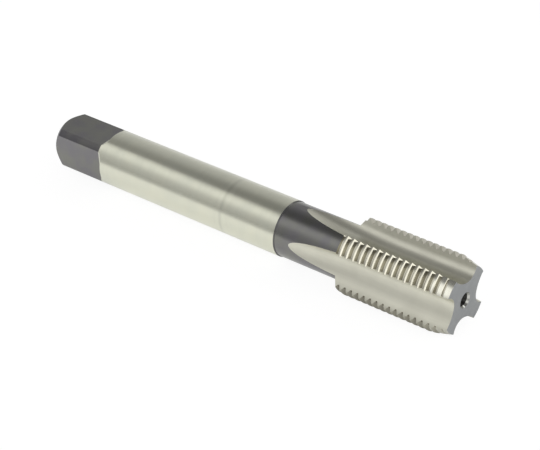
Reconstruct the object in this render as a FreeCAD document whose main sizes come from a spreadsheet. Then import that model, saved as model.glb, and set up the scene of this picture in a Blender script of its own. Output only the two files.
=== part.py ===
import FreeCAD, Part
import math
import os
import re
import Sketcher

# Straight-flute thread tap, M16 x 1.5, right hand, one piece of hardened and ground steel.
# Frame: the origin is the centre of the drive end, +X runs along the axis to the cutting end,
# and +Z is up as the tap lies on two of its lands. Angles round the axis start at +Y and turn to +Z.

NODE = "thread_tap"

# Driving sizes in millimetres and degrees. An x is a distance from the drive end.
SIZES = {
    "overall_length": 102.0,
    # Square drive, with a ground shoulder whose foot is rounded
    "end_chamfer": 1.4,
    "square_across_flats": 9.5,
    "square_length": 14.0,
    "shoulder_fillet": 1.3,
    "square_turn": 4.0,
    # Shank and neck
    "shank_radius": 6.0,
    "shank_end_x": 60.5,
    "neck_step_length": 0.3,
    "neck_radius": 5.83,
    "neck_end_x": 75.4,
    # Thread: a groove of constant depth, and a tapered point that cuts its crests away
    "thread_radius": 8.0,
    "thread_pitch": 1.5,
    "crest_flat": 0.1875,
    "root_flat": 0.25,
    "flank_half_angle": 30.0,
    "thread_lead_in": 1.92,
    "thread_rear_slope": 60.0,
    "point_radius": 6.95,
    "point_chamfer_angle": 15.0,
    # Flutes: section of one flute, open towards +Y, and the wheel that ground its run-out
    "flute_count": 4,
    "core_offset": 3.75,
    "heel_arc_radius": 6.5,
    "heel_arc_shift": 1.35,
    "root_fillet_radius": 1.2,
    "cutting_edge_angle": 28.8,
    "rake_angle": 5.0,
    "flute_full_x": 84.3,
    "flute_wheel_radius": 102.0,
    # Centre holes in both ends
    "centre_mouth_radius": 1.65,
    "centre_cone_half_angle": 30.0,
    "pilot_radius": 0.8,
    "pilot_end_depth": 3.4,
    "pilot_point_half_angle": 59.0,
    # How far a cutting outline reaches past the steel
    "overcut": 1.5,
}

# A square drive has this many flats, whatever its size
SQUARE_SIDES = 4

document = FreeCAD.newDocument("ThreadTap")


def make_sheet():
    """Put each driving size in the sheet: its name beside its value, whose cell has that alias."""
    table = document.addObject("Spreadsheet::Sheet", "Sizes")
    for row, (name, value) in enumerate(SIZES.items(), start=1):
        table.set(f"A{row}", name)
        table.set(f"B{row}", str(value))
        table.setAlias(f"B{row}", name)
    document.recompute()
    return table


def on_sheet(formula):
    """Point every size name in a formula at the sheet."""
    return re.sub(r"[a-z_]+", lambda word: f"Sizes.{word[0]}" if word[0] in SIZES else word[0], formula)


def value_of(formula):
    """Work out a formula with the sheet's present sizes."""
    return float(sheet.evalExpression(on_sheet(formula)))


def origin_item(role):
    """Find one of the body's own origin planes or axes by its role."""
    return next(item for item in body.Origin.OriginFeatures if item.Role == role)


def new_sketch(name, plane):
    """Start a sketch flat on one of the body's origin planes."""
    sketch = body.newObject("Sketcher::SketchObject", name)
    sketch.AttachmentSupport = [(origin_item(plane), "")]
    sketch.MapMode = "FlatFace"
    return sketch


def bind_point(sketch, geometry, vertex, across, up):
    """Tie a vertex to the sketch's origin by two formulas, with "0" for a vertex on an axis."""
    for kind, formula, axis in (("DistanceX", across, -2), ("DistanceY", up, -1)):
        if formula == "0":
            sketch.addConstraint(Sketcher.Constraint("PointOnObject", geometry, vertex, axis))
            continue
        value = value_of(formula)
        ends = (-1, 1, geometry, vertex) if value >= 0 else (geometry, vertex, -1, 1)
        index = sketch.addConstraint(Sketcher.Constraint(kind, *ends, abs(value)))
        sketch.setExpression(f"Constraints[{index}]", on_sheet(formula if value >= 0 else f"-({formula})"))


def bind_size(sketch, kind, geometry, formula):
    """Give one line or arc a radius or an angle from the sheet."""
    value = value_of(formula)
    unit = ""
    if kind == "Angle":
        value = math.radians(value)
        unit = " * 1 deg"
    index = sketch.addConstraint(Sketcher.Constraint(kind, geometry, value))
    sketch.setExpression(f"Constraints[{index}]", f"({on_sheet(formula)}){unit}")


def join_ends(sketch, pairs):
    """Make the end of one edge and the start of the next the same point."""
    for before, after in pairs:
        sketch.addConstraint(Sketcher.Constraint("Coincident", before, 2, after, 1))


def flat_point(across, up):
    """A point of a sketch."""
    return FreeCAD.Vector(across, up, 0)


def draw_polygon(sketch, corners):
    """Draw a closed outline of straight edges through corners given as pairs of formulas."""
    places = [flat_point(value_of(across), value_of(up)) for across, up in corners]
    count = len(places)
    for index in range(count):
        sketch.addGeometry(Part.LineSegment(places[index], places[(index + 1) % count]), False)
    join_ends(sketch, [(index, (index + 1) % count) for index in range(count)])
    for index, (across, up) in enumerate(corners):
        bind_point(sketch, index, 1, across, up)


def cut_check(feature, before):
    """A cut must have removed steel: a cut in the wrong direction leaves the volume as it was."""
    document.recompute()
    if not feature.Shape.Volume < before:
        raise RuntimeError(f"{feature.Name} removed nothing")
    return feature.Shape.Volume


def pattern_round_axis(name, originals, count_formula):
    """Repeat cuts evenly round the tool's axis."""
    pattern = body.newObject("PartDesign::PolarPattern", name)
    pattern.Originals = originals
    pattern.Axis = (origin_item("X_Axis"), [""])
    pattern.Angle = 360
    pattern.setExpression("Occurrences", on_sheet(count_formula))
    body.Tip = pattern
    return pattern


def make_blank():
    """Turn the blank: end chamfer, shank, neck, rear slope, full thread diameter, tapered point."""
    rear_slope_end = "neck_end_x + (thread_radius - neck_radius) / tan(thread_rear_slope * 1 deg)"
    taper_start = "overall_length - (thread_radius - point_radius) / tan(point_chamfer_angle * 1 deg)"
    sketch = new_sketch("BlankOutline", "XZ_Plane")
    draw_polygon(sketch, [
        ("0", "0"),
        ("0", "shank_radius - end_chamfer"),
        ("end_chamfer", "shank_radius"),
        ("shank_end_x", "shank_radius"),
        ("shank_end_x + neck_step_length", "neck_radius"),
        ("neck_end_x", "neck_radius"),
        (rear_slope_end, "thread_radius"),
        (taper_start, "thread_radius"),
        ("overall_length", "point_radius"),
        ("overall_length", "0"),
    ])
    blank = body.newObject("PartDesign::Revolution", "Blank")
    blank.Profile = sketch
    blank.ReferenceAxis = (sketch, ["H_Axis"])
    blank.Angle = 360
    document.recompute()
    return blank.Shape.Volume


def make_thread(volume):
    """Cut the right-hand thread groove, which starts behind the thread and ends past the point."""
    depth = "(thread_pitch - crest_flat - root_flat) / 2 / tan(flank_half_angle * 1 deg)"
    lift = "crest_flat / 2"
    outer_half = f"((thread_pitch - crest_flat) / 2 + {lift} * tan(flank_half_angle * 1 deg))"
    start = "neck_end_x - thread_lead_in"
    sketch = new_sketch("ThreadGroove", "XZ_Plane")
    draw_polygon(sketch, [
        (f"{start} - root_flat / 2", f"thread_radius - {depth}"),
        (f"{start} + root_flat / 2", f"thread_radius - {depth}"),
        (f"{start} + {outer_half}", f"thread_radius + {lift}"),
        (f"{start} - {outer_half}", f"thread_radius + {lift}"),
    ])
    thread = body.newObject("PartDesign::SubtractiveHelix", "Thread")
    thread.Profile = sketch
    thread.ReferenceAxis = (origin_item("X_Axis"), [""])
    thread.Mode = "pitch-height-angle"
    thread.setExpression("Pitch", on_sheet("thread_pitch"))
    thread.setExpression("Height", on_sheet(f"overall_length + thread_pitch - ({start})"))
    thread.LeftHanded = False
    body.Tip = thread
    return cut_check(thread, volume)


def make_square(volume):
    """Grind four flats for the drive, each with a rounded foot at its shoulder."""
    half = "square_across_flats / 2"
    outside = "shank_radius + overcut"
    foot_x = "square_length - shoulder_fillet"
    sketch = new_sketch("SquareFlat", "XZ_Plane")
    sketch.AttachmentOffset = FreeCAD.Placement(FreeCAD.Vector(), FreeCAD.Rotation(FreeCAD.Vector(1, 0, 0), 1))
    sketch.setExpression("AttachmentOffset.Rotation.Angle", on_sheet("square_turn * 1 deg"))
    foot = flat_point(value_of(foot_x), value_of(f"{half} + shoulder_fillet"))
    low = flat_point(value_of(foot_x), value_of(half))
    high = flat_point(value_of("square_length"), value_of(f"{half} + shoulder_fillet"))
    top = flat_point(value_of("square_length"), value_of(outside) + value_of("shoulder_fillet"))
    back_top = flat_point(-value_of("overcut"), top.y)
    back_low = flat_point(-value_of("overcut"), low.y)
    arc = Part.ArcOfCircle(Part.Circle(foot, FreeCAD.Vector(0, 0, 1), value_of("shoulder_fillet")),
                           -math.pi / 2, 0)
    flat = sketch.addGeometry(Part.LineSegment(back_low, low), False)
    fillet = sketch.addGeometry(arc, False)
    shoulder = sketch.addGeometry(Part.LineSegment(high, top), False)
    lid = sketch.addGeometry(Part.LineSegment(top, back_top), False)
    back = sketch.addGeometry(Part.LineSegment(back_top, back_low), False)
    join_ends(sketch, [(shoulder, lid), (lid, back), (back, flat)])
    sketch.addConstraint(Sketcher.Constraint("Tangent", flat, 2, fillet, 1))
    sketch.addConstraint(Sketcher.Constraint("Tangent", fillet, 2, shoulder, 1))
    sketch.addConstraint(Sketcher.Constraint("Horizontal", flat))
    sketch.addConstraint(Sketcher.Constraint("Vertical", shoulder))
    bind_size(sketch, "Radius", fillet, "shoulder_fillet")
    bind_point(sketch, flat, 1, "-overcut", half)
    bind_point(sketch, lid, 1, "square_length", f"{outside} + shoulder_fillet")
    bind_point(sketch, lid, 2, "-overcut", f"{outside} + shoulder_fillet")
    pocket = body.newObject("PartDesign::Pocket", "SquareSide")
    pocket.Profile = sketch
    pocket.SideType = "Symmetric"
    pocket.Type = "ThroughAll"
    body.Tip = pocket
    volume = cut_check(pocket, volume)
    return cut_check(pattern_round_axis("Square", [pocket], str(SQUARE_SIDES)), volume)


def angle_from(centre, spot):
    """The direction from a centre to a spot of the same sketch, in radians."""
    return math.atan2(spot.y - centre.y, spot.x - centre.x)


def edge_place():
    """The cutting edge of one flute at the full thread radius."""
    edge = math.radians(value_of("cutting_edge_angle"))
    return value_of("thread_radius") * flat_point(math.cos(edge), -math.sin(edge))


def tangent_start():
    """Where the flute's arcs and its cutting face lie, for a first drawing of the outline."""
    face = math.radians(value_of("cutting_edge_angle - rake_angle"))
    small = value_of("root_fillet_radius")
    large = value_of("heel_arc_radius")
    heel = flat_point(value_of("core_offset") + large, -value_of("heel_arc_shift"))
    tip = edge_place()
    inward = FreeCAD.Vector(-math.cos(face), math.sin(face), 0)
    side = FreeCAD.Vector(math.sin(face), math.cos(face), 0)
    gap = tip + small * side - heel
    along = gap.dot(inward)
    run = -along + math.sqrt(along * along - gap.dot(gap) + (large - small) ** 2)
    return heel, tip + small * side + run * inward, inward, side


def make_flutes(volume):
    """Grind the flutes: an even part from the cutting end, then the run-out that the wheel leaves."""
    outside = "thread_radius + overcut"
    heel_centre, root_centre, inward, side = tangent_start()
    small = value_of("root_fillet_radius")
    large = value_of("heel_arc_radius")
    foot = root_centre - small * side
    joint = heel_centre + large * (root_centre - heel_centre).normalize()
    limit = value_of(outside)
    face_top = foot + inward * ((limit - foot.x) / inward.x)
    heel_top = flat_point(limit, heel_centre.y + math.sqrt(large ** 2 - (limit - heel_centre.x) ** 2))
    up = FreeCAD.Vector(0, 0, 1)
    sketch = new_sketch("FluteSection", "YZ_Plane")
    sketch.setExpression("AttachmentOffset.Base.z", on_sheet("flute_full_x"))
    root_arc = Part.ArcOfCircle(Part.Circle(root_centre, up, small), angle_from(root_centre, joint),
                                angle_from(root_centre, foot) + 2 * math.pi)
    heel_arc = Part.ArcOfCircle(Part.Circle(heel_centre, up, large), angle_from(heel_centre, heel_top),
                                angle_from(heel_centre, joint) + 2 * math.pi)
    wheel_x = value_of("core_offset + flute_wheel_radius")
    face = sketch.addGeometry(Part.LineSegment(face_top, foot), False)
    root = sketch.addGeometry(root_arc, False)
    heel = sketch.addGeometry(heel_arc, False)
    lid = sketch.addGeometry(Part.LineSegment(heel_top, face_top), False)
    edge = sketch.addGeometry(Part.Point(edge_place()), True)
    wheel_line = Part.LineSegment(flat_point(wheel_x, -limit), flat_point(wheel_x, limit))
    wheel = sketch.addGeometry(wheel_line, True)
    sketch.addConstraint(Sketcher.Constraint("Tangent", face, 2, root, 2))
    sketch.addConstraint(Sketcher.Constraint("Tangent", root, 1, heel, 2))
    sketch.addConstraint(Sketcher.Constraint("Coincident", heel, 1, lid, 1))
    sketch.addConstraint(Sketcher.Constraint("Coincident", lid, 2, face, 1))
    sketch.addConstraint(Sketcher.Constraint("Vertical", lid))
    sketch.addConstraint(Sketcher.Constraint("PointOnObject", edge, 1, face))
    bind_point(sketch, edge, 1, "thread_radius * cos(cutting_edge_angle * 1 deg)",
               "-thread_radius * sin(cutting_edge_angle * 1 deg)")
    bind_size(sketch, "Angle", face, "180 - cutting_edge_angle + rake_angle")
    bind_size(sketch, "Radius", root, "root_fillet_radius")
    bind_size(sketch, "Radius", heel, "heel_arc_radius")
    bind_point(sketch, heel, 3, "core_offset + heel_arc_radius", "-heel_arc_shift")
    index = sketch.addConstraint(Sketcher.Constraint("DistanceX", -1, 1, lid, 1, limit))
    sketch.setExpression(f"Constraints[{index}]", on_sheet(outside))
    for vertex, reach in ((1, "-thread_radius"), (2, "thread_radius")):
        bind_point(sketch, wheel, vertex, "core_offset + flute_wheel_radius", reach)

    even = body.newObject("PartDesign::Pocket", "FluteEvenPart")
    even.Profile = sketch
    even.Reversed = True
    even.Type = "Length"
    even.setExpression("Length", on_sheet("overall_length - flute_full_x + overcut"))
    body.Tip = even
    volume = cut_check(even, volume)
    rise = "shank_radius + overcut - core_offset"
    run_out = body.newObject("PartDesign::Groove", "FluteRunOut")
    run_out.Profile = sketch
    run_out.ReferenceAxis = (sketch, ["Axis0"])
    run_out.Reversed = True
    run_out.setExpression("Angle", on_sheet(f"acos(1 - ({rise}) / flute_wheel_radius)"))
    body.Tip = run_out
    volume = cut_check(run_out, volume)
    return cut_check(pattern_round_axis("Flutes", [even, run_out], "flute_count"), volume)


def make_centre_hole(name, face_x, sign, volume):
    """Drill a centre hole: a cone for the lathe centre, a pilot below it and its pointed bottom."""
    cone = "(centre_mouth_radius - pilot_radius) / tan(centre_cone_half_angle * 1 deg)"
    bottom = "pilot_end_depth + pilot_radius / tan(pilot_point_half_angle * 1 deg)"
    sketch = new_sketch(f"{name}Outline", "XZ_Plane")
    draw_polygon(sketch, [
        (face_x, "0"),
        (face_x, "centre_mouth_radius"),
        (f"{face_x} {sign} {cone}", "pilot_radius"),
        (f"{face_x} {sign} pilot_end_depth", "pilot_radius"),
        (f"{face_x} {sign} ({bottom})", "0"),
    ])
    hole = body.newObject("PartDesign::Groove", name)
    hole.Profile = sketch
    hole.ReferenceAxis = (sketch, ["H_Axis"])
    hole.Angle = 360
    body.Tip = hole
    return cut_check(hole, volume)


def check_document():
    """Stop if anything in the document failed, or the finished solid isn't one sound piece."""
    for item in document.Objects:
        if "Invalid" in item.State or "Error" in item.State:
            raise RuntimeError(f"{item.Name} failed: {item.State}")
    shape = body.Shape
    if shape.isNull() or not shape.isValid() or len(shape.Solids) != 1:
        raise RuntimeError(f"{body.Label} is not one valid solid")


sheet = make_sheet()
body = document.addObject("PartDesign::Body", "ThreadTapBody")
body.Label = NODE
steel = make_blank()
steel = make_square(steel)
steel = make_flutes(steel)
steel = make_thread(steel)
steel = make_centre_hole("DriveEndCentre", "0", "+", steel)
steel = make_centre_hole("CuttingEndCentre", "overall_length", "-", steel)
document.recompute()
check_document()
os.makedirs("parts", exist_ok=True)
body.Shape.exportStep(f"parts/{NODE}.step")
print(f"{NODE}: {steel:.1f} cubic millimetres, {len(body.Shape.Faces)} faces")
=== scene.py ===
import logging
import math
from dataclasses import dataclass
from enum import Enum
from typing import Any, Mapping, Optional, Sequence, Union

import bpy
from bpy.types import ID, Material, Node, NodeSocket, NodeTree, Object, World
from mathutils import Matrix, Vector


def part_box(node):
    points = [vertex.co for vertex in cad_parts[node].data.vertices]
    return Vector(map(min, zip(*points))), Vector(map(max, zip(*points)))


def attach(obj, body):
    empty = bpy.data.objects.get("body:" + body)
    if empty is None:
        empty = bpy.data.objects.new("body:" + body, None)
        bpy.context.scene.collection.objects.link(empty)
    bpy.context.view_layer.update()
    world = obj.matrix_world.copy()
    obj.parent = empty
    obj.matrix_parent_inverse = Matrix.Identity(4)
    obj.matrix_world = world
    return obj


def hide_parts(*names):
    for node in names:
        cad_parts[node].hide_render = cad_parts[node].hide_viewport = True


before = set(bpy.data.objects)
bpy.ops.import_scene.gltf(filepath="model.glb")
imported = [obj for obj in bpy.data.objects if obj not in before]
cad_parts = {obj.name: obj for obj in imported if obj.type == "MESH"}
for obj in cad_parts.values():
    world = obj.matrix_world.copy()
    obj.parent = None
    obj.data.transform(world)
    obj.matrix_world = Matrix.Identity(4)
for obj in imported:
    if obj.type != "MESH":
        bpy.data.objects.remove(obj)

LOG = logging.getLogger("thread_tap")
MM = 0.001
NODE = "thread_tap"
BODY = "root"
# Sockets that the Mix node uses for colours
MIX_A, MIX_B, MIX_RESULT = 6, 7, 2
# In metres: an x past the whole tap, and the distance within which two points are one
PAST_ALL = 10.0
WELD = 1e-7
# Two numbers: a place in a plane, or a low and a high limit
Point = tuple[float, float]
Colour = tuple[float, float, float, float]
# What an input can be joined to: a node stands for its first output
Source = Union[Node, NodeSocket]


@dataclass(frozen=True)
class TapSizes:
    """Sizes of the tap in millimetres and degrees. An x is a distance from the drive end."""

    overall_length: float = 102.0
    # Square drive, the x where its dark oxide ends, and how far a flat's cut reaches to each side
    end_chamfer: float = 1.4
    across_flats: float = 9.5
    square_length: float = 14.0
    shoulder_fillet: float = 1.3
    oxide_end: float = 12.9
    square_turn: float = 4.0
    square_sides: int = 4
    flat_half_width: float = 4.0
    # Shank and neck
    shank_radius: float = 6.0
    shank_end_x: float = 60.5
    neck_step: float = 0.3
    neck_radius: float = 5.83
    neck_end_x: float = 75.4
    # Thread: its groove, the round on its crest, where it starts, and the gap that keeps its turns apart
    thread_radius: float = 8.0
    pitch: float = 1.5
    crest_flat: float = 0.1875
    root_flat: float = 0.25
    flank_angle: float = 30.0
    crest_round: float = 0.14
    lead_in: float = 1.92
    start_angle: float = 90.0
    turn_gap: float = 0.003
    rear_slope: float = 60.0
    point_radius: float = 6.95
    point_angle: float = 15.0
    # Flutes: section of one, open towards +Y, and the wheel that ground its run-out
    flutes: int = 4
    core: float = 3.75
    heel_radius: float = 6.5
    heel_shift: float = 1.35
    root_radius: float = 2.7
    edge_angle: float = 28.8
    rake: float = 8.0
    flute_full_x: float = 84.3
    wheel_radius: float = 102.0
    # Centre holes in both ends, with the depth of the bright lip in the cutting end's mouth
    mouth_radius: float = 1.65
    cone_angle: float = 30.0
    mouth_depth: float = 0.45
    pilot_radius: float = 0.8
    pilot_depth: float = 3.4
    pilot_point_angle: float = 59.0
    # How far a cutting outline reaches past the steel, and how near the end its ground face is taken to be
    over: float = 1.5
    end_skin: float = 0.02

    @property
    def groove_start(self) -> float:
        """Where the middle of the thread groove starts along the axis."""
        return self.neck_end_x - self.lead_in

    @property
    def groove_depth(self) -> float:
        """Depth of the thread groove below the full crest."""
        return (self.pitch - self.crest_flat - self.root_flat) / 2 / tan(self.flank_angle)


def tan(degrees: float) -> float:
    """Tangent of an angle in degrees."""
    return math.tan(math.radians(degrees))


class Bench:
    """Places nodes in one node tree and joins them."""

    def __init__(self, tree: NodeTree) -> None:
        """Start work on a tree.

        Args:
            tree: The node tree that gets the nodes.
        """
        self.tree = tree

    def place(self, kind: str, feeds: Optional[Mapping[Union[str, int], Any]] = None,
              **settings: Any) -> Node:
        """Add one node.

        Args:
            kind: The node's type name.
            feeds: What goes into its inputs, as feed takes it.
            settings: The node's own options.

        Returns:
            The new node.
        """
        node = self.tree.nodes.new(kind)
        for name, value in settings.items():
            setattr(node, name, value)
        for key, value in (feeds or {}).items():
            self.feed(node.inputs[key], value)
        return node

    def feed(self, socket: NodeSocket, value: Any) -> None:
        """Join a source to an input, or set the input's own value.

        Args:
            socket: The input.
            value: A node for its first output, a socket, a quantity or a plain value.
        """
        if isinstance(value, Node):
            value = value.outputs[0]
        if isinstance(value, Quantity):
            value = value.socket
        if isinstance(value, NodeSocket):
            self.tree.links.new(value, socket)
        else:
            socket.default_value = value

    def quantity(self, socket: NodeSocket) -> "Quantity":
        """Wrap an output so that it can be used in arithmetic."""
        return Quantity(self, socket)

    def maths(self, operation: str, *terms: Any) -> "Quantity":
        """Add one Math node.

        Args:
            operation: The node's operation.
            terms: Its inputs in order.

        Returns:
            The result as a quantity.
        """
        node = self.place("ShaderNodeMath", dict(enumerate(terms)), operation=operation)
        return Quantity(self, node.outputs[0])

    def vector(self, x: Any = 0.0, y: Any = 0.0, z: Any = 0.0) -> NodeSocket:
        """Join three numbers into a vector and return its socket."""
        return self.place("ShaderNodeCombineXYZ", {0: x, 1: y, 2: z}).outputs[0]

    def parts(self, vector: NodeSocket) -> list["Quantity"]:
        """The X, Y and Z parts of a vector."""
        return [Quantity(self, part) for part in self.place("ShaderNodeSeparateXYZ", {0: vector}).outputs]


class Quantity:
    """A number that varies over a mesh: one output socket with the usual arithmetic."""

    def __init__(self, bench: Bench, socket: NodeSocket) -> None:
        """Wrap a socket of the bench's tree."""
        self.bench = bench
        self.socket = socket

    def __add__(self, other: Any) -> "Quantity":
        """Sum."""
        return self.bench.maths("ADD", self, other)

    def __sub__(self, other: Any) -> "Quantity":
        """Difference."""
        return self.bench.maths("SUBTRACT", self, other)

    def __rsub__(self, other: Any) -> "Quantity":
        """Difference from a plain number."""
        return self.bench.maths("SUBTRACT", other, self)

    def __mul__(self, other: Any) -> "Quantity":
        """Product."""
        return self.bench.maths("MULTIPLY", self, other)

    def __truediv__(self, other: Any) -> "Quantity":
        """Quotient."""
        return self.bench.maths("DIVIDE", self, other)

    def sin(self) -> "Quantity":
        """Sine of an angle in radians."""
        return self.bench.maths("SINE", self)

    def cos(self) -> "Quantity":
        """Cosine of an angle in radians."""
        return self.bench.maths("COSINE", self)

    def above(self, limit: Any) -> "Quantity":
        """The larger of this and a limit."""
        return self.bench.maths("MAXIMUM", self, limit)

    def over(self, limit: Any) -> "Quantity":
        """One where this is greater than a limit, otherwise zero."""
        return self.bench.maths("GREATER_THAN", self, limit)

    def under(self, limit: Any) -> "Quantity":
        """One where this is less than a limit, otherwise zero."""
        return self.bench.maths("LESS_THAN", self, limit)

    def rise(self, low: Any, high: Any) -> "Quantity":
        """A soft step from zero at a low limit to one at a high limit."""
        node = self.bench.place("ShaderNodeMapRange", {"Value": self, "From Min": low, "From Max": high},
                                interpolation_type="SMOOTHSTEP")
        return Quantity(self.bench, node.outputs["Result"])


class Kind(Enum):
    """Kinds of input that a geometry tree takes."""

    NUMBER = "NodeSocketFloat"
    COUNT = "NodeSocketInt"
    SWITCH = "NodeSocketBool"
    SOLID = "NodeSocketGeometry"
    OBJECT = "NodeSocketObject"
    FINISH = "NodeSocketMaterial"


class ShapeTree(Bench):
    """A geometry node tree with named inputs and one geometry output."""

    def __init__(self, name: str, inputs: Mapping[str, Kind]) -> None:
        """Start a tree.

        Args:
            name: The tree's name.
            inputs: The name and kind of each input, in order.
        """
        super().__init__(bpy.data.node_groups.new(name, "GeometryNodeTree"))
        self.inputs = inputs
        for label, kind in inputs.items():
            self.tree.interface.new_socket(label, in_out="INPUT", socket_type=kind.value)
        self.tree.interface.new_socket("Shape", in_out="OUTPUT", socket_type=Kind.SOLID.value)
        self.entry = self.tree.nodes.new("NodeGroupInput")
        self.exit = self.tree.nodes.new("NodeGroupOutput")

    def __getitem__(self, name: str) -> Quantity:
        """One of the tree's own inputs as a quantity."""
        return Quantity(self, self.entry.outputs[name])

    def use(self, other: "ShapeTree", feeds: Optional[Mapping[str, Any]] = None) -> NodeSocket:
        """Place another tree in this one as a group. An input that both trees have by name is passed on.

        Args:
            other: The tree to place.
            feeds: What goes into its inputs instead.

        Returns:
            The socket with its shape.
        """
        shared = {name: self[name] for name in other.inputs if name in self.inputs}
        group = self.place("GeometryNodeGroup", {**shared, **(feeds or {})}, node_tree=other.tree)
        return group.outputs["Shape"]

    def finish(self, shape: Source) -> "ShapeTree":
        """Send a shape to the output and return the tree."""
        self.feed(self.exit.inputs["Shape"], shape)
        return self

    def aim(self, curve: Source, normal: Any) -> "ShapeTree":
        """Finish the tree with a path, and with the normal that a profile on it keeps."""
        return self.finish(self.place("GeometryNodeSetCurveNormal", {"Curve": curve, "Normal": normal},
                                      mode="FREE"))

    def apply(self, obj: Object, values: Mapping[str, Any]) -> None:
        """Put the tree on an object as a modifier.

        Args:
            obj: The object that carries the tree.
            values: The value of each named input. One without a value keeps its default.
        """
        modifier = obj.modifiers.new(self.tree.name, "NODES")
        modifier.node_group = self.tree
        for item in self.tree.interface.items_tree:
            if item.in_out == "INPUT" and values.get(item.name) is not None:
                modifier[item.identifier] = values[item.name]


class PathTrees:
    """The trees that every tool shares: the paths of a profile, the sweep, the copies and the zones."""

    def __init__(self) -> None:
        """Build the shared trees."""
        self.round = self._round_path()
        self.wheel = self._wheel_path()
        self.across = self._across_path()
        self.sweep = self._sweep()
        self.copies = self._copies()
        self.zone = self._finish_zone()

    @staticmethod
    def _line_of(tree: ShapeTree, count: Any) -> tuple[NodeSocket, Quantity]:
        """A line of points whose places are set afterwards.

        Args:
            tree: The tree that gets the line.
            count: How many points it has.

        Returns:
            The curve and each point's index.
        """
        line = tree.place("GeometryNodeCurvePrimitiveLine")
        points = tree.place("GeometryNodeResampleCurve", {"Curve": line, "Count": count}, mode="COUNT")
        return points.outputs[0], tree.quantity(tree.place("GeometryNodeInputIndex").outputs[0])

    @classmethod
    def _round_path(cls) -> ShapeTree:
        """A path round the axis: a closed ring without pitch, or a right-hand helix with it.

        Returns:
            The tree that makes the path.
        """
        tree = ShapeTree("RoundPath", {"Radius": Kind.NUMBER, "Start": Kind.NUMBER, "Pitch": Kind.NUMBER,
                                       "Start Angle": Kind.NUMBER, "Steps per Turn": Kind.COUNT,
                                       "Points": Kind.COUNT, "Closed": Kind.SWITCH})
        curve, index = cls._line_of(tree, tree["Points"])
        turns = index / tree["Steps per Turn"]
        angle = turns * math.tau + tree["Start Angle"]
        place = tree.vector(turns * tree["Pitch"] + tree["Start"],
                            angle.cos() * tree["Radius"], angle.sin() * tree["Radius"])
        moved = tree.place("GeometryNodeSetPosition", {"Geometry": curve, "Position": place})
        closed = tree.place("GeometryNodeSetSplineCyclic", {"Geometry": moved, "Cyclic": tree["Closed"]})
        return tree.aim(closed, (1.0, 0.0, 0.0))

    @classmethod
    def _wheel_path(cls) -> ShapeTree:
        """The axis that a flute's profile rides on: round the wheel's centre, then straight to the end.

        Returns:
            The tree that makes the path.
        """
        tree = ShapeTree("WheelPath", {"Full Depth X": Kind.NUMBER, "End X": Kind.NUMBER,
                                       "Wheel Centre": Kind.NUMBER, "Run-out Angle": Kind.NUMBER,
                                       "Arc Steps": Kind.COUNT})
        # The arc has a point more than it has steps, and the far end is one more
        steps = tree["Arc Steps"]
        curve, index = cls._line_of(tree, steps + 2.0)
        angle = ((steps - index).above(0.0) / steps) * tree["Run-out Angle"]
        straight = index.over(steps)
        run = tree["Full Depth X"] - angle.sin() * tree["Wheel Centre"]
        x = run + straight * (tree["End X"] - tree["Full Depth X"])
        y = (1.0 - angle.cos()) * tree["Wheel Centre"]
        moved = tree.place("GeometryNodeSetPosition", {"Geometry": curve, "Position": tree.vector(x, y)})
        return tree.aim(moved, tree.vector(angle.sin(), angle.cos()))

    @staticmethod
    def _across_path() -> ShapeTree:
        """A straight path across the axis, for a wheel that grinds a flat.

        Returns:
            The tree that makes the path.
        """
        tree = ShapeTree("AcrossPath", {"Half Width": Kind.NUMBER})
        half = tree["Half Width"]
        line = tree.place("GeometryNodeCurvePrimitiveLine", {"Start": tree.vector(0.0, half),
                                                             "End": tree.vector(0.0, half * -1.0)})
        return tree.aim(line, (1.0, 0.0, 0.0))

    @staticmethod
    def _sweep() -> ShapeTree:
        """A closed solid from a profile of edges and a path.

        Returns:
            The tree that makes the solid.
        """
        tree = ShapeTree("Sweep", {"Profile": Kind.SOLID, "Path": Kind.SOLID, "Shift": Kind.NUMBER,
                                   "Finish": Kind.FINISH})
        profile = tree.place("GeometryNodeMeshToCurve", {"Mesh": tree["Profile"]})
        shifted = tree.place("GeometryNodeTransform", {"Geometry": profile,
                                                       "Translation": tree.vector(0.0, tree["Shift"])})
        swept = tree.place("GeometryNodeCurveToMesh", {"Curve": tree["Path"], "Profile Curve": shifted,
                                                       "Fill Caps": True})
        merged = tree.place("GeometryNodeMergeByDistance", {"Geometry": swept, "Distance": WELD})
        return tree.finish(tree.place("GeometryNodeSetMaterial", {"Geometry": merged,
                                                                  "Material": tree["Finish"]}))

    @staticmethod
    def _copies() -> ShapeTree:
        """Copies of a solid spread evenly round the axis, from a first turn.

        Returns:
            The tree that makes the copies.
        """
        tree = ShapeTree("RoundTheAxis", {"Solid": Kind.SOLID, "Count": Kind.COUNT, "Turn": Kind.NUMBER})
        index = tree.quantity(tree.place("GeometryNodeInputIndex").outputs[0])
        angle = index * math.tau / tree["Count"] + tree["Turn"]
        points = tree.place("GeometryNodePoints", {"Count": tree["Count"]})
        turned = tree.place("GeometryNodeInstanceOnPoints", {"Points": points, "Instance": tree["Solid"],
                                                             "Rotation": tree.vector(angle)})
        return tree.finish(tree.place("GeometryNodeRealizeInstances", {"Geometry": turned}))

    @staticmethod
    def _finish_zone() -> ShapeTree:
        """Gives the faces between two places along the axis a finish of their own.

        Returns:
            The tree that makes the solid.
        """
        tree = ShapeTree("FinishZone", {"Solid": Kind.SOLID, "From X": Kind.NUMBER, "To X": Kind.NUMBER,
                                        "Finish": Kind.FINISH})
        x = tree.parts(tree.place("GeometryNodeInputPosition").outputs[0])[0]
        inside = x.over(tree["From X"]) * x.under(tree["To X"])
        dressed = tree.place("GeometryNodeSetMaterial", {"Geometry": tree["Solid"], "Selection": inside,
                                                         "Material": tree["Finish"]})
        return tree.finish(dressed)


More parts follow.
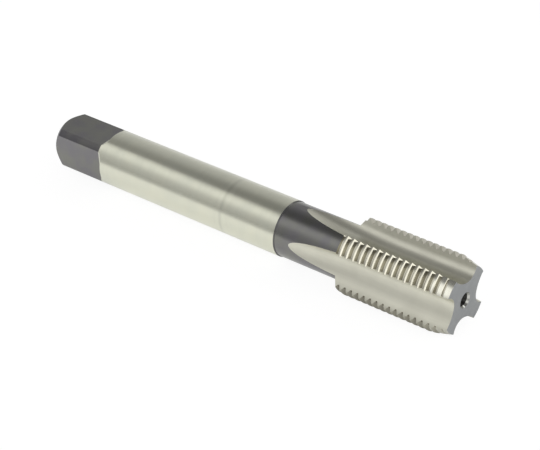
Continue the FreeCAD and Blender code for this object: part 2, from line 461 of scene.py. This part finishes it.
def new_object(name: str, data: ID) -> Object:
    """Make an object of a mesh or a camera and put it in the scene."""
    obj = bpy.data.objects.new(name, data)
    bpy.context.scene.collection.objects.link(obj)
    return obj


def emptied(block: Union[Material, World]) -> Bench:
    """Give a material or a world an empty node tree, and return the bench for it."""
    block.use_nodes = True
    block.node_tree.nodes.clear()
    return Bench(block.node_tree)


def profile_object(name: str, points: Sequence[Point], closed: bool) -> Object:
    """A sketch in the profile's own plane, with its corners in the order that makes a sweep face out.

    Args:
        name: The sketch's name.
        points: Its corners in order, in millimetres.
        closed: True where the last corner joins the first.

    Returns:
        The sketch as a mesh object in metres.
    """
    count = len(points)
    turns = sum(points[i - 1][0] * points[i][1] - points[i][0] * points[i - 1][1] for i in range(count))
    ordered = points if turns > 0 else points[::-1]
    edges = [(i, (i + 1) % count) for i in range(count if closed else count - 1)]
    mesh = bpy.data.meshes.new(name)
    mesh.from_pydata([(a * MM, b * MM, 0.0) for a, b in ordered], edges, [])
    return new_object(name, mesh)


def arc_points(centre: Point, radius: float, start: float, end: float, steps: int) -> list[Point]:
    """Points along an arc.

    Args:
        centre: Its centre.
        radius: Its radius.
        start: First angle in radians.
        end: Last angle in radians.
        steps: How many equal parts it has.

    Returns:
        The points, both ends included.
    """
    angles = [start + (end - start) * i / steps for i in range(steps + 1)]
    return [(centre[0] + radius * math.cos(a), centre[1] + radius * math.sin(a)) for a in angles]


class Lay(Enum):
    """Which way a surface's grinding marks run, as how fast they change along X, Y and Z."""

    ROUND = (1.0, 0.02, 0.02)
    ALONG = (0.015, 1.0, 1.0)
    EVEN = (1.0, 1.0, 1.0)


class MarkTrees:
    """Shader groups that several finishes share."""

    FINE_DETAIL = 3.0
    FINE_ROUGHNESS = 0.7
    FINE_HEIGHT = 0.6
    BROAD_DETAIL = 2.0
    BROAD_HEIGHT = 0.4
    BROAD_CONTRAST = 1.2
    CLOUD_DETAIL = 4.0
    EVEN_ROUGHNESS = 0.5
    NOISE_MIDDLE = 0.5

    def __init__(self) -> None:
        """Build the shared groups."""
        self.marks = self._marks()
        self.stains = self._stains()

    @staticmethod
    def _group(name: str, inputs: Sequence[str], outputs: Sequence[str]) -> tuple[Bench, Node, Node]:
        """Start a shader group whose inputs are numbers after a first vector.

        Args:
            name: The group's name.
            inputs: The names of its number inputs.
            outputs: The names of its number outputs.

        Returns:
            The bench, the group's entry and its exit.
        """
        tree = bpy.data.node_groups.new(name, "ShaderNodeTree")
        tree.interface.new_socket("Place", in_out="INPUT", socket_type="NodeSocketVector")
        for label in inputs:
            tree.interface.new_socket(label, in_out="INPUT", socket_type="NodeSocketFloat")
        for label in outputs:
            tree.interface.new_socket(label, in_out="OUTPUT", socket_type="NodeSocketFloat")
        return Bench(tree), tree.nodes.new("NodeGroupInput"), tree.nodes.new("NodeGroupOutput")

    @staticmethod
    def _noise(bench: Bench, entry: Node, size: str, detail: float, roughness: float) -> Quantity:
        """Noise of a group.

        Args:
            bench: Where the node goes.
            entry: The group's entry, which gives its place and its scale.
            size: The name of the input with its scale.
            detail: How many finer layers it has.
            roughness: How strong each finer layer is.

        Returns:
            The noise, which lies round its middle value.
        """
        node = bench.place("ShaderNodeTexNoise", {
            "Vector": entry.outputs["Place"], "Scale": entry.outputs[size], "Detail": detail,
            "Roughness": roughness})
        return bench.quantity(node.outputs["Fac"])

    @classmethod
    def _marks(cls) -> NodeTree:
        """Grinding marks: fine scratches between broader bands, both stretched along the lay.

        Returns:
            The group.
        """
        bench, entry, exit_ = cls._group("GrindingMarks", ("Fineness", "Breadth"), ("Height", "Shade"))
        fine = cls._noise(bench, entry, "Fineness", cls.FINE_DETAIL, cls.FINE_ROUGHNESS)
        broad = cls._noise(bench, entry, "Breadth", cls.BROAD_DETAIL, cls.EVEN_ROUGHNESS)
        shade = (broad - cls.NOISE_MIDDLE) * cls.BROAD_CONTRAST + (fine - cls.NOISE_MIDDLE)
        bench.feed(exit_.inputs["Height"], fine * cls.FINE_HEIGHT + broad * cls.BROAD_HEIGHT)
        bench.feed(exit_.inputs["Shade"], shade)
        return bench.tree

    @classmethod
    def _stains(cls) -> NodeTree:
        """Soft uneven patches, as handling and oxide leave them.

        Returns:
            The group.
        """
        bench, entry, exit_ = cls._group("Stains", ("Spread", "Edge"), ("Patch",))
        cloud = cls._noise(bench, entry, "Spread", cls.CLOUD_DETAIL, cls.EVEN_ROUGHNESS)
        edge = bench.quantity(entry.outputs["Edge"])
        bench.feed(exit_.inputs["Patch"], cloud.rise(cls.NOISE_MIDDLE - edge, edge + cls.NOISE_MIDDLE))
        return bench.tree


@dataclass(frozen=True)
class SteelFinish:
    """One finish of the tap's steel. Lengths are in metres, and scales of marks and stains per metre."""

    name: str
    colour: Colour
    tint: Colour
    roughness: float
    lay: Lay
    fineness: float
    breadth: float
    mark_depth: float
    mark_shade: float
    mark_roughness: float = 0.3
    roughness_spread: float = 0.04
    anisotropy: float = 0.0
    turn: float = 0.0
    stain_spread: float = 260.0
    stain_edge: float = 0.18
    stain_middle: float = 0.5
    metallic: float = 1.0
    # A faint dark ring round the axis: its place, how far it fades each way, and how dark it is
    band_x: float = 0.0
    band_reach: float = 0.0007
    band_shade: float = 0.0

    def band(self, bench: Bench, where: NodeSocket) -> Quantity:
        """The faint ring.

        Args:
            bench: Where the nodes go.
            where: The place on the tap.

        Returns:
            One in the middle of the ring, zero away from it, soft between.
        """
        along = bench.parts(where)[0]
        return (along.rise(self.band_x - self.band_reach, self.band_x)
                * (1.0 - along.rise(self.band_x, self.band_x + self.band_reach)))

    def material(self, trees: MarkTrees) -> Material:
        """Build the finish as a material.

        Args:
            trees: The shader groups that it uses.

        Returns:
            The material.
        """
        material = bpy.data.materials.new(self.name)
        material.diffuse_color = self.colour
        bench = emptied(material)
        where = bench.place("ShaderNodeTexCoord").outputs["Object"]
        laid = bench.place("ShaderNodeMapping", {"Vector": where, "Scale": self.lay.value}).outputs[0]
        marks = bench.place("ShaderNodeGroup", {"Place": laid, "Fineness": self.fineness,
                                                "Breadth": self.breadth}, node_tree=trees.marks)
        stains = bench.place("ShaderNodeGroup", {"Place": where, "Spread": self.stain_spread,
                                                 "Edge": self.stain_edge}, node_tree=trees.stains)
        shade = bench.quantity(marks.outputs["Shade"]) * self.mark_shade
        patch = bench.quantity(stains.outputs["Patch"])
        tinted = bench.place("ShaderNodeMix", {MIX_A: self.colour, MIX_B: self.tint, "Factor": patch},
                             data_type="RGBA")
        strength = shade + 1.0
        if self.band_shade:
            strength = strength - self.band(bench, where) * self.band_shade
        lit = bench.place("ShaderNodeVectorMath", {0: tinted.outputs[MIX_RESULT], "Scale": strength},
                          operation="SCALE")
        rough = ((patch - self.stain_middle) * self.roughness_spread + shade * self.mark_roughness
                 + self.roughness)
        bump = bench.place("ShaderNodeBump", {"Strength": 1.0, "Distance": self.mark_depth,
                                              "Height": marks.outputs["Height"]})
        steel = bench.place("ShaderNodeBsdfPrincipled", {
            "Base Color": lit, "Metallic": self.metallic, "Roughness": rough,
            "Normal": bump, "Anisotropic": self.anisotropy, "Anisotropic Rotation": self.turn})
        if self.anisotropy:
            tangent = bench.place("ShaderNodeTangent", direction_type="RADIAL", axis="X")
            bench.feed(steel.inputs["Tangent"], tangent)
        bench.place("ShaderNodeOutputMaterial", {"Surface": steel})
        return material


def grey(red: float, green: float, blue: float) -> Colour:
    """An opaque colour from three linear values."""
    return (red, green, blue, 1.0)


class Steel(Enum):
    """The finishes of the tap's surfaces."""

    SHANK = SteelFinish("ShankGround", grey(0.655, 0.655, 0.545), grey(0.63, 0.635, 0.535), roughness=0.24,
                        lay=Lay.ROUND, fineness=9000.0, breadth=1200.0, mark_depth=4e-7, mark_shade=0.07,
                        anisotropy=0.4, turn=0.25, band_x=0.0468, band_shade=0.09)
    OXIDE = SteelFinish("SteamOxide", grey(0.2, 0.2, 0.183), grey(0.183, 0.178, 0.186), roughness=0.22,
                        lay=Lay.ROUND, fineness=6000.0, breadth=900.0, mark_depth=3e-7, mark_shade=0.05,
                        roughness_spread=0.08)
    SCALE = SteelFinish("CornerScale", grey(0.13, 0.128, 0.122), grey(0.105, 0.102, 0.11), roughness=0.38,
                        lay=Lay.EVEN, fineness=5000.0, breadth=900.0, mark_depth=6e-7, mark_shade=0.08,
                        roughness_spread=0.08)
    FLUTE = SteelFinish("FluteGround", grey(0.65, 0.64, 0.545), grey(0.62, 0.61, 0.52), roughness=0.37,
                        lay=Lay.ALONG, fineness=5000.0, breadth=900.0, mark_depth=8e-7, mark_shade=0.12,
                        anisotropy=0.4)
    # Darker than the other ground steel: painted shade in the thread's grooves
    THREAD = SteelFinish("ThreadGround", grey(0.53, 0.51, 0.425), grey(0.46, 0.44, 0.365), roughness=0.17,
                         lay=Lay.ROUND, fineness=12000.0, breadth=3000.0, mark_depth=3e-7, mark_shade=0.1)
    # Paler than the other ground steel: a painted highlight along the crests
    CREST = SteelFinish("CrestGround", grey(0.72, 0.71, 0.62), grey(0.64, 0.63, 0.545), roughness=0.2,
                        lay=Lay.ROUND, fineness=12000.0, breadth=3000.0, mark_depth=2e-7, mark_shade=0.06)
    END_FACE = SteelFinish("EndFaceGround", grey(0.36, 0.37, 0.37), grey(0.33, 0.34, 0.345), roughness=0.42,
                           lay=Lay.EVEN, fineness=4000.0, breadth=700.0, mark_depth=8e-7, mark_shade=0.06)
    # Painted near black: painted shade inside both centre holes
    CENTRE_HOLE = SteelFinish("CentreDrilled", grey(0.035, 0.035, 0.033), grey(0.02, 0.02, 0.019),
                              roughness=0.22, lay=Lay.ROUND, fineness=9000.0, breadth=2500.0,
                              mark_depth=4e-7, mark_shade=0.1)
    # The same drilled steel at the cutting end's mouth, paler than the painted shade inside the hole
    CENTRE_LIP = SteelFinish("CentreLip", grey(0.5, 0.5, 0.47), grey(0.44, 0.44, 0.41), roughness=0.12,
                             lay=Lay.ROUND, fineness=9000.0, breadth=2500.0, mark_depth=4e-7,
                             mark_shade=0.1)


@dataclass(frozen=True)
class Fineness:
    """How finely round surfaces are divided, and the fold in degrees from which an edge is sharp."""

    turn_steps: int = 192
    helix_steps: int = 120
    arc_steps: int = 28
    run_out_steps: int = 32
    fillet_steps: int = 10
    crest_steps: int = 3
    sharp_edge: float = 24.0


@dataclass(frozen=True)
class Tool:
    """The blank or a tool that cuts it: a sketch, the path it is swept along and the finish it leaves."""

    name: str
    outline: Sequence[Point]
    path: ShapeTree
    travel: Mapping[str, Any]
    finish: Material
    # False where the sketch is a half outline that starts and ends on the axis
    closed: bool = True
    # A second finish, and where it begins along the axis in millimetres
    second: Optional[Material] = None
    second_x: float = 0.0
    # How many copies lie round the axis, and the turn of the first in degrees
    count: int = 1
    turn: float = 0.0

    def build(self, trees: PathTrees) -> Object:
        """Sweep the sketch along its path.

        Args:
            trees: The shared trees.

        Returns:
            The object that carries the tool's own tree.
        """
        tree = ShapeTree(self.name, {"Profile": Kind.SOLID, **self.path.inputs, "Finish": Kind.FINISH,
                                     "Second Finish": Kind.FINISH, "Second X": Kind.NUMBER,
                                     "Count": Kind.COUNT, "Turn": Kind.NUMBER})
        path = tree.use(self.path)
        shift = tree["Radius"] * -1.0 if "Radius" in self.path.inputs else 0.0
        shape = tree.use(trees.sweep, {"Path": path, "Shift": shift})
        if self.second:
            shape = tree.use(trees.zone, {"Solid": shape, "From X": tree["Second X"], "To X": PAST_ALL,
                                          "Finish": tree["Second Finish"]})
        if self.count > 1:
            shape = tree.use(trees.copies, {"Solid": shape})
        obj = profile_object(self.name, self.outline, self.closed)
        tree.finish(shape).apply(obj, {**self.travel, "Finish": self.finish, "Second Finish": self.second,
                                       "Second X": self.second_x * MM, "Count": self.count,
                                       "Turn": math.radians(self.turn)})
        return obj


class GroundTap:
    """The tap, made the way the real one is: a turned blank that wheels and drills cut away."""

    def __init__(self, sizes: TapSizes, finishes: Mapping[Steel, Material], fineness: Fineness) -> None:
        """Keep what the tap is made from.

        Args:
            sizes: Its sizes.
            finishes: The material of each finish.
            fineness: How finely it is divided.
        """
        self.sizes = sizes
        self.finishes = finishes
        self.fineness = fineness
        self.trees = PathTrees()

    # Outlines

    def blank_outline(self) -> list[Point]:
        """Half outline of the turned blank.

        Returns:
            Its corners as x and radius, from the drive end to the cutting end.
        """
        s = self.sizes
        slope_end = s.neck_end_x + (s.thread_radius - s.neck_radius) / tan(s.rear_slope)
        taper_start = s.overall_length - (s.thread_radius - s.point_radius) / tan(s.point_angle)
        return [(0.0, 0.0), (0.0, s.shank_radius - s.end_chamfer), (s.end_chamfer, s.shank_radius),
                (s.oxide_end, s.shank_radius), (s.shank_end_x, s.shank_radius),
                (s.shank_end_x + s.neck_step, s.neck_radius), (s.neck_end_x, s.neck_radius),
                (slope_end, s.thread_radius), (taper_start, s.thread_radius),
                (s.overall_length, s.point_radius), (s.overall_length, 0.0)]

    def square_outline(self) -> list[Point]:
        """Side of the wheel that grinds one flat.

        Returns:
            Its corners as x and height, with the rounded foot of the shoulder.
        """
        s = self.sizes
        half = s.across_flats / 2
        foot = (s.square_length - s.shoulder_fillet, half + s.shoulder_fillet)
        top = s.shank_radius + s.over + s.shoulder_fillet
        foot_arc = arc_points(foot, s.shoulder_fillet, -math.pi / 2, 0.0, self.fineness.fillet_steps)
        return [(-s.over, half), *foot_arc, (s.square_length, top), (-s.over, top)]

    def flute_outline(self) -> list[Point]:
        """Section of one flute, open towards +Y.

        Returns:
            The cutting face, the root arc and the heel arc.
        """
        s = self.sizes
        edge = math.radians(s.edge_angle)
        face = math.radians(s.edge_angle - s.rake)
        heel = Vector((s.core + s.heel_radius, -s.heel_shift))
        tip = Vector((s.thread_radius * math.cos(edge), -s.thread_radius * math.sin(edge)))
        inward = Vector((-math.cos(face), math.sin(face)))
        side = Vector((math.sin(face), math.cos(face)))
        gap = tip + s.root_radius * side - heel
        along = gap.dot(inward)
        run = -along + math.sqrt(along ** 2 - gap.length_squared + (s.heel_radius - s.root_radius) ** 2)
        root = tip + s.root_radius * side + run * inward
        foot = root - s.root_radius * side
        limit = s.thread_radius + s.over
        face_top = foot + inward * ((limit - foot.x) / inward.x)
        joint = math.atan2(root.y - heel.y, root.x - heel.x) % math.tau
        heel_end = math.atan2(math.sqrt(s.heel_radius ** 2 - (limit - heel.x) ** 2), limit - heel.x)
        foot_angle = math.atan2(foot.y - root.y, foot.x - root.x) % math.tau
        small = arc_points((root.x, root.y), s.root_radius, foot_angle, joint, self.fineness.fillet_steps)
        large = arc_points((heel.x, heel.y), s.heel_radius, joint, heel_end, self.fineness.arc_steps)
        return [(face_top.x, face_top.y), *small, *large[1:]]

    def groove_outline(self) -> list[Point]:
        """Section of the thread groove, with rounded crest edges.

        Returns:
            Its corners as x from its middle and radius.
        """
        s = self.sizes
        root = s.thread_radius - s.groove_depth
        tangent = s.crest_round * tan((90.0 - s.flank_angle) / 2)
        centre = ((s.pitch - s.crest_flat) / 2 + tangent, s.thread_radius - s.crest_round)
        turn = math.radians((90.0 - s.flank_angle) / self.fineness.crest_steps)
        reach = s.crest_round / math.cos(turn / 2)
        angles = [turn * (i + 0.5) for i in reversed(range(self.fineness.crest_steps))]
        facets = [(centre[0] - reach * math.sin(a), centre[1] + reach * math.cos(a)) for a in angles]
        side = s.pitch / 2 - s.turn_gap
        edge = (side, s.thread_radius + (side - facets[-1][0]) * math.tan(turn))
        half = [(s.root_flat / 2, root), *facets, edge, (side, s.thread_radius + s.over / 2)]
        return [*half, *((-x, radius) for x, radius in reversed(half))]

    def centre_outline(self, at: float, inward: float) -> list[Point]:
        """Half outline of a centre drill, as x and radius.

        Args:
            at: Where the end face is.
            inward: 1.0 where the hole runs towards +X and -1.0 where it runs towards -X.

        Returns:
            The outline from the axis outside the steel to the drill's point.
        """
        s = self.sizes
        cone = (s.mouth_radius - s.pilot_radius) / tan(s.cone_angle)
        point = s.pilot_depth + s.pilot_radius / tan(s.pilot_point_angle)
        flare = s.mouth_radius + s.over * tan(s.cone_angle)
        lip = s.mouth_radius - s.mouth_depth * tan(s.cone_angle)
        run = [(-s.over, 0.0), (-s.over, flare), (s.mouth_depth, lip), (cone, s.pilot_radius),
               (s.pilot_depth, s.pilot_radius), (point, 0.0)]
        return [(at + inward * x, radius) for x, radius in run]

    # Tools that shape it

    def tools(self) -> tuple[Tool, ...]:
        """What the tap is made with.

        Returns:
            The blank, then the tools in the order in which they cut.
        """
        s = self.sizes
        look = self.finishes
        trees = self.trees
        rise = s.shank_radius + s.over - s.core
        turns = (s.overall_length + s.pitch - s.groove_start) / s.pitch
        ring = {"Radius": s.thread_radius * MM, "Steps per Turn": self.fineness.turn_steps,
                "Points": self.fineness.turn_steps, "Closed": True}
        plunge = {"Full Depth X": s.flute_full_x * MM, "End X": (s.overall_length + s.over) * MM,
                  "Wheel Centre": (s.core + s.wheel_radius) * MM,
                  "Run-out Angle": math.acos(1 - rise / s.wheel_radius),
                  "Arc Steps": self.fineness.run_out_steps}
        helix = {"Radius": s.thread_radius * MM, "Start": s.groove_start * MM, "Pitch": s.pitch * MM,
                 "Start Angle": math.radians(s.start_angle), "Steps per Turn": self.fineness.helix_steps,
                 "Points": round(turns * self.fineness.helix_steps) + 1}
        return (
            Tool("Blank", self.blank_outline(), trees.round, ring, look[Steel.OXIDE], closed=False),
            Tool("SquareWheel", self.square_outline(), trees.across, {"Half Width": s.flat_half_width * MM},
                 look[Steel.OXIDE], second=look[Steel.SHANK], second_x=s.oxide_end, count=s.square_sides,
                 turn=s.square_turn),
            Tool("FluteWheel", self.flute_outline(), trees.wheel, plunge, look[Steel.FLUTE], count=s.flutes),
            Tool("ThreadWheel", self.groove_outline(), trees.round, helix, look[Steel.THREAD]),
            Tool("DriveEndDrill", self.centre_outline(0.0, 1.0), trees.round, ring, look[Steel.CENTRE_HOLE],
                 closed=False),
            Tool("CuttingEndDrill", self.centre_outline(s.overall_length, -1.0), trees.round, ring,
                 look[Steel.CENTRE_HOLE], closed=False, second=look[Steel.CENTRE_LIP],
                 second_x=s.overall_length - s.mouth_depth),
        )

    def cut_tree(self, cutters: Sequence[str], zones: Sequence[str]) -> ShapeTree:
        """The tree that dresses the blank and cuts it.

        Args:
            cutters: The name of each tool's input, in the order in which they cut.
            zones: The name of each zone of the blank that has a finish of its own.

        Returns:
            The tree.
        """
        inputs = {"Blank": Kind.SOLID, **{name: Kind.OBJECT for name in cutters}}
        for name in zones:
            inputs.update({f"{name} From": Kind.NUMBER, f"{name} To": Kind.NUMBER,
                           f"{name} Finish": Kind.FINISH})
        inputs.update({"Sharp Edge": Kind.NUMBER, "End X": Kind.NUMBER, "End Finish": Kind.FINISH})
        tree = ShapeTree("GroundTap", inputs)
        shape = tree["Blank"].socket
        for name in zones:
            shape = tree.use(self.trees.zone, {"Solid": shape, "From X": tree[f"{name} From"],
                                               "To X": tree[f"{name} To"], "Finish": tree[f"{name} Finish"]})
        for name in cutters:
            tool = tree.place("GeometryNodeObjectInfo", {"Object": tree[name]})
            cut = tree.place("GeometryNodeMeshBoolean", {"Mesh 1": shape, "Mesh 2": tool.outputs["Geometry"]},
                             operation="DIFFERENCE", solver="MANIFOLD")
            shape = cut.outputs["Mesh"]
        welded = tree.place("GeometryNodeMergeByDistance", {"Geometry": shape, "Distance": WELD})
        smooth = tree.place("GeometryNodeSetShadeSmooth", {"Geometry": welded, "Shade Smooth": True})
        fold = tree.quantity(tree.place("GeometryNodeInputMeshEdgeAngle").outputs["Unsigned Angle"])
        creased = tree.place("GeometryNodeSetShadeSmooth", {
            "Geometry": smooth, "Selection": fold.over(tree["Sharp Edge"]),
            "Shade Smooth": False}, domain="EDGE")
        real = tree.place("GeometryNodeRealizeInstances", {"Geometry": creased})
        x = tree.parts(tree.place("GeometryNodeInputPosition").outputs[0])[0]
        dressed = tree.place("GeometryNodeSetMaterial", {"Geometry": real, "Selection": x.over(tree["End X"]),
                                                         "Material": tree["End Finish"]})
        return tree.finish(dressed)

    def grind(self) -> Object:
        """Cut the blank with every tool and keep the result as a plain mesh.

        Returns:
            The finished tap.
        """
        s = self.sizes
        look = self.finishes
        zones = {
            "Corners": (-s.over, s.oxide_end, look[Steel.SCALE]),
            "Shank": (s.oxide_end, s.shank_end_x, look[Steel.SHANK]),
            "Step": (s.shank_end_x, s.shank_end_x + s.neck_step, look[Steel.SCALE]),
            "Crest": (s.neck_end_x, s.overall_length, look[Steel.CREST]),
        }
        blank, *cutters = [tool.build(self.trees) for tool in self.tools()]
        values: dict[str, Any] = {cutter.name: cutter for cutter in cutters}
        tree = self.cut_tree(list(values), list(zones))
        for name, (start, end, finish) in zones.items():
            values.update({f"{name} From": start * MM, f"{name} To": end * MM, f"{name} Finish": finish})
        values.update({"Sharp Edge": math.radians(self.fineness.sharp_edge),
                       "End X": (s.overall_length - s.end_skin) * MM, "End Finish": look[Steel.END_FACE]})
        tree.apply(blank, values)
        bpy.context.view_layer.update()
        graph = bpy.context.evaluated_depsgraph_get()
        mesh = bpy.data.meshes.new_from_object(blank.evaluated_get(graph), depsgraph=graph)
        piece = new_object("thread_tap_ground", mesh)
        for obj in (blank, *cutters):
            bpy.data.objects.remove(obj)
        return piece


@dataclass(frozen=True)
class Viewpoint:
    """Where the photograph was taken from. Lengths in millimetres and angles in degrees."""

    place: tuple[float, float, float] = (254.704, -253.469, 199.357)
    azimuth: float = 38.219
    elevation: float = 31.861
    roll: float = -0.138
    focal_pixels: float = 1876.37
    picture_width: float = 540.0
    sensor: float = 36.0

    def build(self) -> None:
        """Make the camera and choose it for the scene."""
        az, el, roll = (math.radians(a) for a in (self.azimuth, self.elevation, self.roll))
        ahead = Vector((-math.sin(az) * math.cos(el), math.cos(az) * math.cos(el), -math.sin(el)))
        level = Vector((math.cos(az), math.sin(az), 0.0))
        upright = level.cross(ahead)
        right = math.cos(roll) * level + math.sin(roll) * upright
        up = -math.sin(roll) * level + math.cos(roll) * upright
        data = bpy.data.cameras.new("PhotoCamera")
        data.sensor_width = self.sensor
        data.lens = self.focal_pixels * self.sensor / self.picture_width
        data.clip_start = MM
        camera = new_object("PhotoCamera", data)
        turn = Matrix((right, up, -ahead)).transposed().to_4x4()
        camera.matrix_world = Matrix.Translation(Vector(self.place) * MM) @ turn
        bpy.context.scene.camera = camera


@dataclass(frozen=True)
class SoftCard:
    """A soft lit card in the room. Angles in degrees, heights as the sine of elevation."""

    azimuth: float
    half_width: float
    side_edge: float
    foot: Point
    top: Point
    brightness: float

    def mask(self, bench: Bench, way: NodeSocket, height: Quantity) -> Quantity:
        """How much of the card is seen in a direction.

        Args:
            bench: Where the nodes go.
            way: The direction's level part, of length one.
            height: The direction's height.

        Returns:
            One inside the card, zero outside, soft between.
        """
        az = math.radians(self.azimuth)
        facing = bench.place("ShaderNodeVectorMath", {0: way, 1: (math.cos(az), math.sin(az), 0.0)},
                             operation="DOT_PRODUCT")
        outer, inner = (math.cos(math.radians(self.half_width + sign * self.side_edge)) for sign in (1, -1))
        across = bench.quantity(facing.outputs["Value"]).rise(outer, inner)
        return across * height.rise(*self.foot) * (1.0 - height.rise(*self.top))


@dataclass(frozen=True)
class Room:
    """What the steel reflects above the floor: brightness by the sine of elevation, and the lit cards."""

    # Top of the scale that the brightness curves are drawn on
    BRIGHTEST = 2.0

    # Stops of height and brightness: behind the tap, before it, and beside it towards +X
    behind: tuple[Point, ...] = ((0.0, 0.8), (0.1, 0.72), (0.24, 0.66), (0.42, 0.6), (0.6, 0.54),
                                 (0.74, 0.44), (0.8, 0.33), (0.845, 0.24), (1.0, 0.2))
    before: tuple[Point, ...] = ((0.0, 0.5), (0.1, 0.52), (0.2, 0.57), (0.31, 0.61), (0.42, 0.66),
                                 (0.52, 0.7), (0.7, 0.6), (0.82, 0.3), (1.0, 0.2))
    beside: tuple[Point, ...] = ((0.0, 2.0), (0.35, 2.0), (0.6, 1.5), (0.8, 1.0), (1.0, 0.3))
    # The level direction that the camera looks along, and where those parts change over
    away: tuple[float, float, float] = (-0.619, 0.786, 0.0)
    away_edge: Point = (0.05, 0.35)
    side_edge: Point = (0.5, 0.85)
    cards: tuple[SoftCard, ...] = (
        SoftCard(azimuth=243.0, half_width=49.0, side_edge=6.0, foot=(0.42, 0.66), top=(0.775, 0.835),
                 brightness=1.05),
        SoftCard(azimuth=285.0, half_width=38.0, side_edge=14.0, foot=(0.36, 0.56), top=(0.78, 0.9),
                 brightness=1.3),
        SoftCard(azimuth=70.0, half_width=14.0, side_edge=5.0, foot=(0.56, 0.66), top=(0.82, 0.92),
                 brightness=1.9),
    )

    @classmethod
    def ramp(cls, bench: Bench, height: Quantity, stops: Sequence[Point]) -> Quantity:
        """Brightness by height.

        Args:
            bench: Where the node goes.
            height: The sine of elevation.
            stops: Height and brightness of each stop.

        Returns:
            The brightness.
        """
        node = bench.place("ShaderNodeFloatCurve", {"Value": height})
        curve = node.mapping.curves[0]
        curve.points[0].location = stops[0]
        for place, level in stops[1:-1]:
            curve.points.new(place, level)
        curve.points[-1].location = stops[-1]
        node.mapping.clip_max_y = cls.BRIGHTEST
        node.mapping.update()
        return bench.quantity(node.outputs[0])

    def build(self) -> None:
        """Make the room and choose it for the scene."""
        world = bpy.data.worlds.new("StudioRoom")
        bench = emptied(world)
        way = bench.place("ShaderNodeTexCoord").outputs["Generated"]
        x, y, height = bench.parts(way)
        level = bench.place("ShaderNodeVectorMath", {0: bench.vector(x, y)}, operation="NORMALIZE").outputs[0]
        far = bench.place("ShaderNodeVectorMath", {0: way, 1: self.away}, operation="DOT_PRODUCT")
        behind = bench.quantity(far.outputs["Value"]).rise(*self.away_edge)
        beside = x.rise(*self.side_edge)
        light = self.ramp(bench, height, self.before)
        for part, stops in ((behind, self.behind), (beside, self.beside)):
            light = light + (self.ramp(bench, height, stops) - light) * part
        for card in self.cards:
            light = light + ((light * -1.0) + card.brightness) * card.mask(bench, level, height)
        back = bench.place("ShaderNodeBackground", {"Color": grey(1.0, 1.0, 1.0), "Strength": light})
        bench.place("ShaderNodeOutputWorld", {"Surface": back})
        bpy.context.scene.world = world


class Studio:
    """The pale floor and the room that the steel reflects."""

    FLOOR_RADIUS = 4.0
    FLOOR_STEPS = 64
    # The floor's own light as the camera sees it, then the painted light that the steel mirrors from it:
    # dim far before the tap, a painted pool of light near it, and painted shade under and behind it
    FLOOR_SEEN = 0.91
    FLOOR_FAR = 0.03
    FLOOR_NEAR = 0.56
    FLOOR_PAINTED_SHADE = 0.25
    # How pale its matt surface is: for the light it gives back, and as the camera sees it
    FLOOR_SHADE = 0.75
    SHADE_SEEN = 0.15
    # Where those places change over, as low and high limits of Y
    FAR_EDGE = (-0.11, -0.03)
    SHADE_BEHIND_EDGE = (-0.0078, 0.0037)
    # Painted shadow that the steel mirrors from under its thread: how dark, and its soft ends along X and Y
    PAINTED_SHADOW_DARK = 0.85
    PAINTED_SHADOW_START = (0.07, 0.078)
    PAINTED_SHADOW_END = (0.1, 0.106)
    PAINTED_SHADOW_FRONT = (-0.0085, -0.0055)
    PAINTED_SHADOW_BACK = (0.005, 0.009)

    def __init__(self, lowest: float) -> None:
        """Keep the height of the tap's lowest point."""
        self.lowest = lowest

    def floor(self) -> None:
        """Make the white floor: the camera sees it white, the steel mirrors painted light and shade from it.
        """
        mesh = bpy.data.meshes.new("StudioFloor")
        ring = arc_points((0.0, 0.0), self.FLOOR_RADIUS, 0.0, math.tau, self.FLOOR_STEPS)[:-1]
        mesh.from_pydata([(x, y, self.lowest) for x, y in ring], [], [tuple(range(self.FLOOR_STEPS))])
        floor = new_object("StudioFloor", mesh)
        material = bpy.data.materials.new("WhiteFloor")
        bench = emptied(material)
        path = bench.place("ShaderNodeLightPath")
        seen = bench.quantity(path.outputs["Is Camera Ray"])
        mirrored = bench.maths("MAXIMUM", path.outputs["Is Glossy Ray"], path.outputs["Is Transmission Ray"])
        x, y, _ = bench.parts(bench.place("ShaderNodeTexCoord").outputs["Object"])
        # Painted shadow under the thread, only in the light that the steel mirrors
        under = (x.rise(*self.PAINTED_SHADOW_START) * (1.0 - x.rise(*self.PAINTED_SHADOW_END))
                 * y.rise(*self.PAINTED_SHADOW_FRONT) * (1.0 - y.rise(*self.PAINTED_SHADOW_BACK)))
        # Painted pool of light near the tap's front, dim far away, with painted shade under and behind the
        # tap
        painted_pool = (y.rise(*self.FAR_EDGE) * (self.FLOOR_NEAR - self.FLOOR_FAR)
                + y.rise(*self.SHADE_BEHIND_EDGE) * (self.FLOOR_PAINTED_SHADE - self.FLOOR_NEAR) + self.FLOOR_FAR)
        shade = seen * (self.SHADE_SEEN - self.FLOOR_SHADE) + self.FLOOR_SHADE
        matt = bench.place("ShaderNodeBsdfDiffuse", {"Color": shade})
        strength = seen * self.FLOOR_SEEN + mirrored * painted_pool * (1.0 - under * self.PAINTED_SHADOW_DARK)
        glow = bench.place("ShaderNodeEmission", {"Color": grey(1.0, 1.0, 1.0), "Strength": strength})
        both = bench.place("ShaderNodeAddShader", {0: matt, 1: glow})
        bench.place("ShaderNodeOutputMaterial", {"Surface": both})
        mesh.materials.append(material)

    def build(self) -> None:
        """Set up the floor, the room and how the picture is shown."""
        self.floor()
        Room().build()
        bpy.context.scene.view_settings.view_transform = "Standard"


def main() -> None:
    """Build the tap, dress it, and set up the studio."""
    logging.basicConfig(level=logging.INFO, format="%(message)s")
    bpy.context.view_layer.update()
    Viewpoint().build()
    trees = MarkTrees()
    finishes = {steel: steel.value.material(trees) for steel in Steel}
    tap = GroundTap(TapSizes(), finishes, Fineness()).grind()
    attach(tap, BODY)
    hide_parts(NODE)
    LOG.info("%s: %d faces", tap.name, len(tap.data.polygons))
    Studio(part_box(NODE)[0].z).build()


if __name__ == "__main__":
    main()
